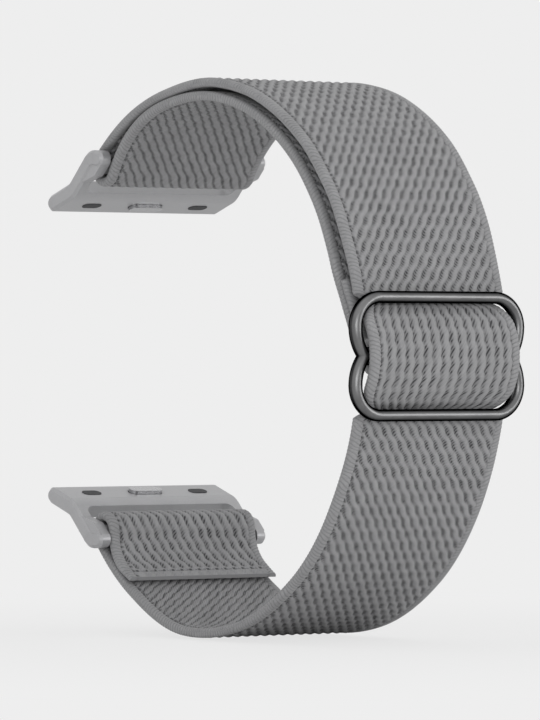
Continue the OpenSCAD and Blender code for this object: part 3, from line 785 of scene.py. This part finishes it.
def webbing_material():
    """Grey yarn, with painted shade between its ropes, teeth and ribs, and painted shadow at the
    hem's stitches.
    """
    g = Graph(bpy.data.materials.new("grey_yarn"))
    w = weave_place(g)
    # face, then dark: how much painted shade each point gets; its colour moves that far towards the
    # painted shade colour
    face = g.between(g.attribute("ribbed"), dimples(g, w), thin_groove_shade(g, w))
    face = g.most(pressed_hem(g, w, face), seam_teeth_shade(g, w))
    dark = g.between(g.math("GREATER_THAN", w.kind, 0.5), face, edge_rib_shade(g, w))
    tone = g.weigh(w.fibre, 0.6, w.cloud, 0.4)
    yarn = g.mix(g.ramp(tone, *SPREAD), YARN_LOW, YARN_HIGH)
    g.set(Base_Color=g.mix(g.math("MINIMUM", dark, 0.95), yarn, YARN_PAINTED_SHADE),
          Roughness=g.ramp(w.fibre, *SPREAD, 0.75, 0.9), Sheen_Weight=0.1, Sheen_Roughness=0.5)
    g.bump(g.math("SUBTRACT", g.times(w.fibre, 0.6), dark), 0.00012, 0.7)
    return g.owner


def thread_material():
    g = Graph(bpy.data.materials.new("light_thread"))
    fibre = g.noise(g.place(), 6000.0)
    g.mottle(fibre, THREAD_LOW, THREAD_HIGH, 0.55, 0.75)
    g.bump(fibre, 0.00004)
    return g.owner


def gunmetal_material():
    """Dark polished metal, its colour painted nearly black where it is seen at a slant: a painted
    dark reflection.
    """
    g = Graph(bpy.data.materials.new("gunmetal"))
    brush = g.brushed(9000.0, 0.15)
    wear = g.noise(g.place(), 350.0, 4.0)
    facing = g.node("ShaderNodeLayerWeight", {"Blend": 0.5}).outputs["Facing"]
    # slant turns the colour towards the painted dark reflection where the surface is seen at a slant
    slant = g.ramp(g.plus(facing, g.times(wear, 0.08)), 0.2, 0.6)
    pale = g.mix(g.ramp(wear, 0.35, 0.7), GUNMETAL_LOW, GUNMETAL_HIGH)
    rough = g.weigh(brush, 0.08, wear, 0.12)
    g.set(Base_Color=g.mix(slant, pale, GUNMETAL_PAINTED_REFLECTION), Metallic=1.0, Specular_Tint=grey(0.02),
          Roughness=g.plus(rough, 0.22))
    g.bump(brush, 0.000004)
    return g.owner


def paint_material():
    g = Graph(bpy.data.materials.new("grey_paint"))
    speck = g.noise(g.place(), 5500.0, 2.0)
    cloud = g.noise(g.place(), 160.0)
    g.mottle(g.weigh(speck, 0.5, cloud, 0.5), PAINT_LOW, PAINT_HIGH, 0.34, 0.44)
    g.set(Metallic=0.35)
    g.bump(speck, 0.00001, 0.6)
    return g.owner


def steel_material():
    g = Graph(bpy.data.materials.new("bright_steel"))
    brush = g.brushed(12000.0, 0.1)
    g.mottle(brush, STEEL_LOW, STEEL_HIGH, 0.2, 0.34)
    g.set(Metallic=1.0)
    g.bump(brush, 0.000004)
    return g.owner


def nylon_material():
    g = Graph(bpy.data.materials.new("dark_nylon"))
    grain = g.noise(g.place(), 4200.0)
    g.mottle(grain, NYLON_LOW, NYLON_HIGH, 0.5, 0.7)
    g.bump(grain, 0.00001)
    return g.owner


# Pieces

def make_webbing(material):
    """One piece for each node of the webbing, by that node's name."""
    start = 0.0
    pieces = {}
    for name, parts in ROUTE.items():
        path = chain(parts, start)
        start = path[0][-1]
        shell = Shell()
        add_body(shell, path, name)
        for hand in (-1, 1):
            add_selvedge(shell, path, name, hand)
        pieces[name] = shell.make(name.replace("webbing", "woven"), material)
        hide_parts(name)
    return pieces


def join_webbing(pieces):
    """The turn and the fold follow the webbing, and the pass and the end loop the adjuster. The runs
    only have their transforms baked in; the ends worked out for them are not used.
    """
    for name in ("webbing_upper_turn", "webbing_lower_fold"):
        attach(pieces[name], "webbing")
    for name in ("webbing_slider_pass", "webbing_slider_end_loop"):
        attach(pieces[name], "slider")
    ends = {
        "webbing_outer_run": (pol(loop_c, run_r, out_lead), pol(loop_c, run_r, 180 - pass_end)),
        "webbing_inner_run": (pol(upper_c, upper_r, in_lead), pol(inner_c, inner_r, LOOP_LEAVE)),
        "webbing_lower_run": (pol(lower_c, lower_r, fold_start), pol(loop_c, run_r, 180 + pass_end)),
    }
    for name, (start, end) in ends.items():
        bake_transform(pieces[name])


def stitch_row(name, node, at, along, out, body, material):
    """A row of lock stitches across the webbing: short twisted threads that dip in at both ends."""
    shell = Shell()
    t = np.linspace(-1, 1, THREAD_RINGS)[:, None]
    turn = np.linspace(0, FULL_TURN, THREAD_SIDES, endpoint=False)[None]
    twist = 1 + THREAD_TWIST * np.cos(2 * turn + 2 * THREAD_LAY * t)
    r = THREAD_R * twist * (1 - THREAD_TAPER * t ** 6)
    off_out = r * np.cos(turn) - THREAD_DIP * t ** 4
    off_along = r * np.sin(turn)
    y, z = (at[i] + out[i] * off_out + along[i] * off_along for i in (0, 1))
    for i in range(STITCHES):
        x = (i - (STITCHES - 1) / 2 + t * STITCH_SHARE / 2) * STITCH_PITCH
        co = np.stack(np.broadcast_arrays(x, y, z), -1)
        shell.add(co, np.zeros(co.shape[:2] + (5,)))
    piece = shell.make(name, material)
    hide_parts(node)
    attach(piece, body)


def make_stitches(material):
    a = (hem_start + hem_end) / 2
    stitch_row("hem_stitches", "hem_stitching", pol(lower_c, hem_r - WEB_T / 2, a),
               pol([0, 0], 1, a + 90), pol([0, 0], -1, a), "webbing", material)
    a = end_leave - TAIL_STITCH
    stitch_row("end_stitches", "slider_end_stitching", pol(end_c, end_r + WEB_T / 2, a),
               pol([0, 0], 1, a + 90), pol([0, 0], 1, a), "slider", material)


def dress(piece, material):
    """Gives a piece that material alone."""
    piece.data.materials.clear()
    piece.data.materials.append(material)


def make_springs(material):
    """Copies of the latch springs, each with a mesh of its own, that ride with their adapter."""
    for side, hand in (("upper", 1), ("lower", -1)):
        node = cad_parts[side + "_latch_springs"]
        piece = link(bpy.data.objects.new(side + "_coils", node.data.copy()))
        dress(piece, material)
        piece.matrix_world = node.matrix_world.copy()
        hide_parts(node.name)
        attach(piece, side + "_adapter")
        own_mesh(piece)


def dress_nodes():
    """Gives each rigid CAD node that shows its material, and makes the springs."""
    gunmetal, painted, steel = gunmetal_material(), paint_material(), steel_material()
    nylon = nylon_material()
    finishes = {"slider_frame": gunmetal, "slider_centre_bar": gunmetal}
    for side in ("upper", "lower"):
        finishes[side + "_adapter_frame"] = finishes[side + "_latch_cover"] = painted
        finishes[side + "_latch_button"] = steel
        finishes[side + "_friction_pads"] = nylon
    for name, material in finishes.items():
        dress(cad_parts[name], material)
    make_springs(steel)


# Camera, light and floor

AZIMUTH = math.radians(324)             # direction from which the photograph was taken
TARGET = Vector((0, -29.5 * MM, -1.5 * MM))     # what the camera and the lamps point at
DISTANCE = 0.767        # how far the camera stands from it
SENSOR, LENS = 36, 280  # height of the camera's picture, and its focal length, in millimetres
WORLD_LIGHT = 0.68      # strength of the even light
FLOOR_Z = -0.0395       # height of the floor, just under the loop
FLOOR_HALF = 3.0        # half the length of its sides

# Each lamp's place, sides and power in watts
LAMPS = {
    "key": ((-0.50, -0.72, 0.00), (0.5, 0.5), 2.2),
    "side": ((0.50, -0.62, 0.00), (0.35, 0.5), 1.6),
    "top": ((0.0, -0.10, 0.72), (0.6, 0.4), 0.2),
}


def aim(thing, at):
    """Places a camera or lamp there, looking at the object."""
    thing.location = at
    thing.rotation_euler = (TARGET - Vector(at)).to_track_quat("-Z", "Y").to_euler()


def make_camera():
    data = bpy.data.cameras.new("camera")
    data.sensor_fit = "VERTICAL"
    data.sensor_height = SENSOR
    data.lens = LENS
    camera = link(bpy.data.objects.new("camera", data))
    aim(camera, TARGET + Vector((math.sin(AZIMUTH), -math.cos(AZIMUTH), 0)) * DISTANCE)
    bpy.context.scene.camera = camera


def make_lights():
    for name, (at, size, power) in LAMPS.items():
        data = bpy.data.lights.new(name, "AREA")
        data.shape = "RECTANGLE"
        data.size, data.size_y = size
        data.energy = power
        aim(link(bpy.data.objects.new(name, data)), at)


def make_world():
    """Even white light, and the pale backdrop for what is seen, mirrored or seen through glass."""
    g = Graph(bpy.data.worlds.new("studio"))
    bpy.context.scene.world = g.owner
    light = g.tree.nodes["Background"]
    g.put(light.inputs["Color"], grey(1))
    g.put(light.inputs["Strength"], WORLD_LIGHT)
    shown = g.node("ShaderNodeBackground", {"Color": BACKGROUND})
    rays = g.node("ShaderNodeLightPath").outputs
    seen = g.most(g.most(rays["Is Camera Ray"], rays["Is Transmission Ray"]), rays["Is Glossy Ray"])
    mix = g.node("ShaderNodeMixShader", {0: seen, 1: light.outputs[0], 2: shown.outputs[0]})
    g.put(g.tree.nodes["World Output"].inputs["Surface"], mix.outputs[0])


def floor_material():
    """Pale, turning into the backdrop away from the object's shadow."""
    g = Graph(bpy.data.materials.new("floor"))
    g.set(Base_Color=FLOOR_COLOUR, Roughness=0.9)
    rays = g.node("ShaderNodeLightPath")
    glow = g.node("ShaderNodeEmission", {"Color": BACKGROUND})
    away = g.node("ShaderNodeVectorMath", {0: g.place()}, operation="LENGTH").outputs["Value"]
    share = g.times(rays.outputs["Is Camera Ray"], g.ramp(away, 0.03, 0.14, 0.85, 1.0))
    mix = g.node("ShaderNodeMixShader", {0: share, 1: g.shader.outputs[0], 2: glow.outputs[0]})
    g.put(g.tree.nodes["Material Output"].inputs["Surface"], mix.outputs[0])
    return g.owner


def make_floor():
    mesh = bpy.data.meshes.new("floor")
    corners = [(x * FLOOR_HALF, y * FLOOR_HALF, 0) for x, y in ((-1, -1), (1, -1), (1, 1), (-1, 1))]
    mesh.from_pydata(corners, [], [(0, 1, 2, 3)])
    mesh.materials.append(floor_material())
    floor = link(bpy.data.objects.new("floor", mesh))
    floor.location = (0, TARGET.y, FLOOR_Z)


make_camera()
make_lights()
make_world()
make_floor()
join_webbing(make_webbing(webbing_material()))
make_stitches(thread_material())
dress_nodes()
bpy.context.scene.view_settings.view_transform = "Standard"
